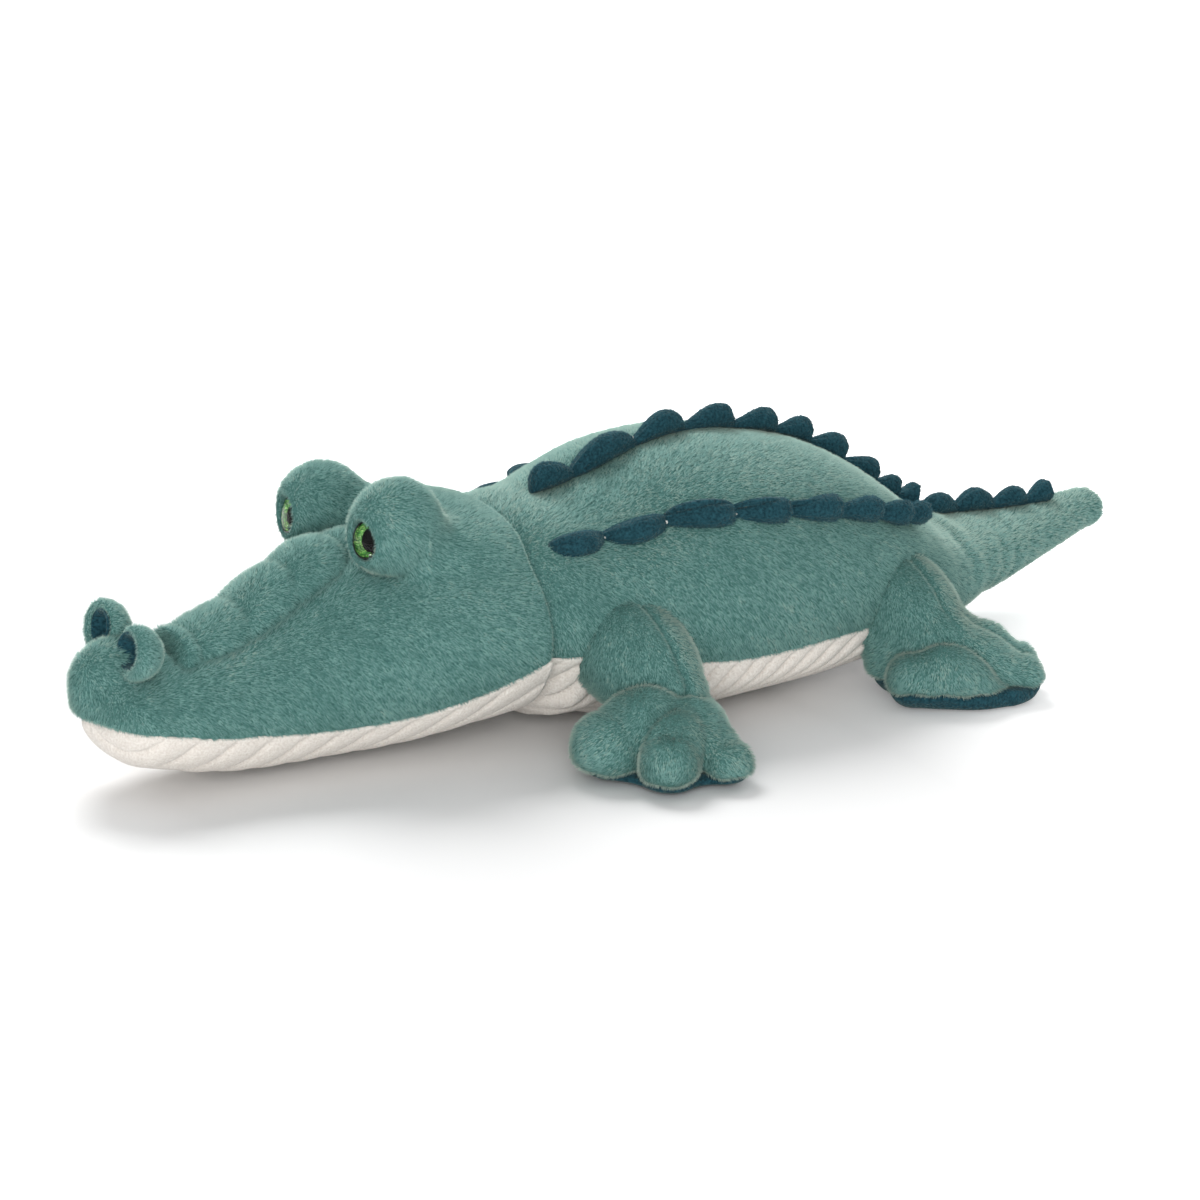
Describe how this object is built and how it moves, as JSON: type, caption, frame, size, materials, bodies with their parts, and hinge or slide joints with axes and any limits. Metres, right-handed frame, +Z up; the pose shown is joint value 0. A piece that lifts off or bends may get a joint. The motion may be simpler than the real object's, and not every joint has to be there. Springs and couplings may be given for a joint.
{
  "type": "plush crocodile toy",
  "caption": "Stuffed plush crocodile lying on splayed three-toed legs, with gathered ridges along its back, raised brow mounds, glossy eyes and a ribbed pale underside.",
  "frame": {"origin": "middle of the toy's footprint on the floor that it stands on", "axes": "+Z up, +Y from the nose to the tail, so the toy faces -Y and its left side is +X"},
  "size_m": [0.2816, 0.535, 0.1185],
  "materials": {
    "plush": "short streaked plush pile, soft teal",
    "dark_plush": "short velvety pile, dark teal",
    "ribbed_plush": "ribbed minky plush, off-white",
    "eye_dome": "clear glossy dome over a glittering green iris",
    "eye_back": "moulded black plastic",
    "eye_washer": "moulded white plastic"
  },
  "bodies": {
    "torso_body": {"torso": "plush", "belly_panel": "ribbed_plush", "centre_ridge": "dark_plush", "left_ridge": "dark_plush", "right_ridge": "dark_plush"},
    "head_body": {"head": "plush", "chin_panel": "ribbed_plush", "snout_bridge": "plush", "left_brow": "plush", "right_brow": "plush", "left_eye_dome": "eye_dome", "right_eye_dome": "eye_dome", "left_eye_back": "eye_back", "right_eye_back": "eye_back", "left_eye_washer": "eye_washer", "right_eye_washer": "eye_washer", "left_nostril": "plush", "right_nostril": "plush", "left_nostril_lining": "dark_plush", "right_nostril_lining": "dark_plush"},
    "tail_body": {"tail": "plush", "tail_ridge": "dark_plush"},
    "front_left_leg_body": {"front_left_leg": "plush", "front_left_paw": "plush", "front_left_sole": "dark_plush"},
    "front_right_leg_body": {"front_right_leg": "plush", "front_right_paw": "plush", "front_right_sole": "dark_plush"},
    "rear_left_leg_body": {"rear_left_leg": "plush", "rear_left_paw": "plush", "rear_left_sole": "dark_plush"},
    "rear_right_leg_body": {"rear_right_leg": "plush", "rear_right_paw": "plush", "rear_right_sole": "dark_plush"}
  },
  "joints": [
    {"name": "head_turn", "type": "hinge", "parent": "torso_body", "child": "head_body", "pos_m": [0, -0.0575, 0.051], "axis": [0, 0, 1], "range_deg": [-12, 12], "stiffness_Nm_per_rad": 1.2},
    {"name": "tail_sway", "type": "hinge", "parent": "torso_body", "child": "tail_body", "pos_m": [0, 0.1465, 0.032], "axis": [0, 0, 1], "range_deg": [-15, 15], "stiffness_Nm_per_rad": 0.5},
    {"name": "front_left_leg_swing", "type": "hinge", "parent": "torso_body", "child": "front_left_leg_body", "pos_m": [0.04607, -0.05114, 0.041], "axis": [1, 0, 0], "range_deg": [-12, 12], "stiffness_Nm_per_rad": 0.8},
    {"name": "front_right_leg_swing", "type": "hinge", "parent": "torso_body", "child": "front_right_leg_body", "pos_m": [-0.04607, -0.05114, 0.041], "axis": [1, 0, 0], "range_deg": [-12, 12], "stiffness_Nm_per_rad": 0.8},
    {"name": "rear_left_leg_swing", "type": "hinge", "parent": "torso_body", "child": "rear_left_leg_body", "pos_m": [0.04827, 0.09196, 0.036], "axis": [1, 0, 0], "range_deg": [-12, 12], "stiffness_Nm_per_rad": 0.8},
    {"name": "rear_right_leg_swing", "type": "hinge", "parent": "torso_body", "child": "rear_right_leg_body", "pos_m": [-0.04827, 0.09196, 0.036], "axis": [1, 0, 0], "range_deg": [-12, 12], "stiffness_Nm_per_rad": 0.8}
  ]
}
